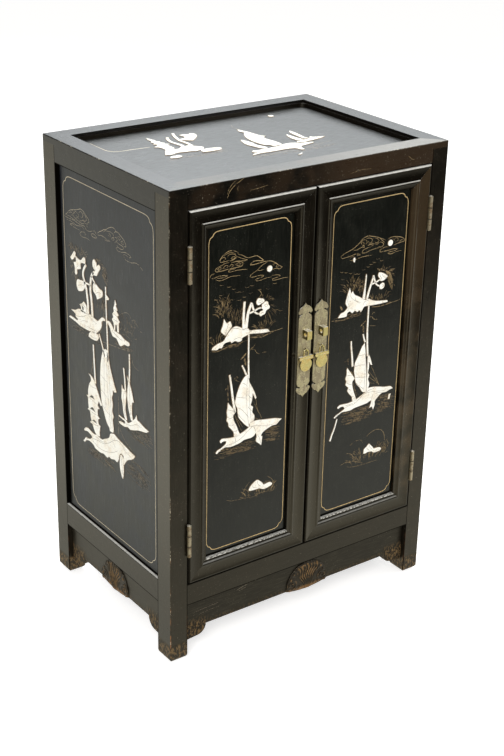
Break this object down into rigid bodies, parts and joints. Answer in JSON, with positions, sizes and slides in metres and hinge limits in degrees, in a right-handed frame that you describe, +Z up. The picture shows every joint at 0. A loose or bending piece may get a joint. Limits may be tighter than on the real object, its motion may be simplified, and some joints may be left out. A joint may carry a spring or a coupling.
{
  "type": "two-door side cabinet",
  "caption": "Lacquered side cabinet on short feet: sunk top, panelled sides, shaped aprons, one shelf, and a pair of moulded doors on butt hinges with long plates, staples and drop pulls.",
  "frame": {"origin": "on the floor, in the middle of the whole outline seen from above", "axes": "+X to the cabinet's right as one faces its doors, +Y to the back, +Z up"},
  "size_m": [0.508, 0.3712, 0.762],
  "materials": {
    "frame_lacquer": "black-brown lacquer, semi-gloss, worn arrises",
    "panel_lacquer": "greenish black lacquer, glossy",
    "inner_wood": "thin red-brown lacquer over softwood",
    "hinge_brass": "dull, worn",
    "plate_metal": "tarnished, matt",
    "fitting_brass": "worn bright"
  },
  "bodies": {
    "carcase": {"back_panel": "panel_lacquer", "bottom_board": "inner_wood", "front_apron": "frame_lacquer", "front_bottom_rail": "frame_lacquer", "front_top_rail": "frame_lacquer", "left_apron": "frame_lacquer", "left_bottom_rail": "frame_lacquer", "left_front_post": "frame_lacquer", "left_hinge_pins": "hinge_brass", "left_post_hinge_leaves": "hinge_brass", "left_post_hinge_screws": "hinge_brass", "left_rear_post": "frame_lacquer", "left_shelf_cleat": "inner_wood", "left_side_panel": "panel_lacquer", "left_top_rail": "frame_lacquer", "lower_door_stop": "inner_wood", "rear_bottom_rail": "frame_lacquer", "rear_top_rail": "frame_lacquer", "right_apron": "frame_lacquer", "right_bottom_rail": "frame_lacquer", "right_front_post": "frame_lacquer", "right_hinge_pins": "hinge_brass", "right_post_hinge_leaves": "hinge_brass", "right_post_hinge_screws": "hinge_brass", "right_rear_post": "frame_lacquer", "right_shelf_cleat": "inner_wood", "right_side_panel": "panel_lacquer", "right_top_rail": "frame_lacquer", "shelf": "inner_wood", "top_batten": "inner_wood", "top_bead": "frame_lacquer", "top_panel": "panel_lacquer", "upper_door_stop": "inner_wood"},
    "left_door": {"left_door_bottom_rail": "frame_lacquer", "left_door_hinge_leaves": "hinge_brass", "left_door_hinge_screws": "hinge_brass", "left_door_hinge_stile": "frame_lacquer", "left_door_meeting_stile": "frame_lacquer", "left_door_panel": "panel_lacquer", "left_door_top_rail": "frame_lacquer", "left_eye_pin": "fitting_brass", "left_plate": "plate_metal", "left_plate_nails": "plate_metal", "left_staple": "fitting_brass"},
    "left_pull": {"left_pull": "fitting_brass"},
    "right_door": {"right_door_bottom_rail": "frame_lacquer", "right_door_hinge_leaves": "hinge_brass", "right_door_hinge_screws": "hinge_brass", "right_door_hinge_stile": "frame_lacquer", "right_door_meeting_stile": "frame_lacquer", "right_door_panel": "panel_lacquer", "right_door_top_rail": "frame_lacquer", "right_eye_pin": "fitting_brass", "right_plate": "plate_metal", "right_plate_nails": "plate_metal", "right_staple": "fitting_brass"},
    "right_pull": {"right_pull": "fitting_brass"}
  },
  "joints": [
    {"name": "left_door_hinge", "type": "hinge", "parent": "carcase", "child": "left_door", "pos_m": [-0.22225, -0.1738, 0.4315], "axis": [0, 0, -1], "range_deg": [0, 170]},
    {"name": "right_door_hinge", "type": "hinge", "parent": "carcase", "child": "right_door", "pos_m": [0.22225, -0.1738, 0.4315], "axis": [0, 0, 1], "range_deg": [0, 170]},
    {"name": "left_pull_hinge", "type": "hinge", "parent": "left_door", "child": "left_pull", "pos_m": [-0.0151, -0.1781, 0.4787], "axis": [-1, 0, 0], "range_deg": [0, 110]},
    {"name": "right_pull_hinge", "type": "hinge", "parent": "right_door", "child": "right_pull", "pos_m": [0.0151, -0.1781, 0.4787], "axis": [-1, 0, 0], "range_deg": [0, 110]}
  ]
}
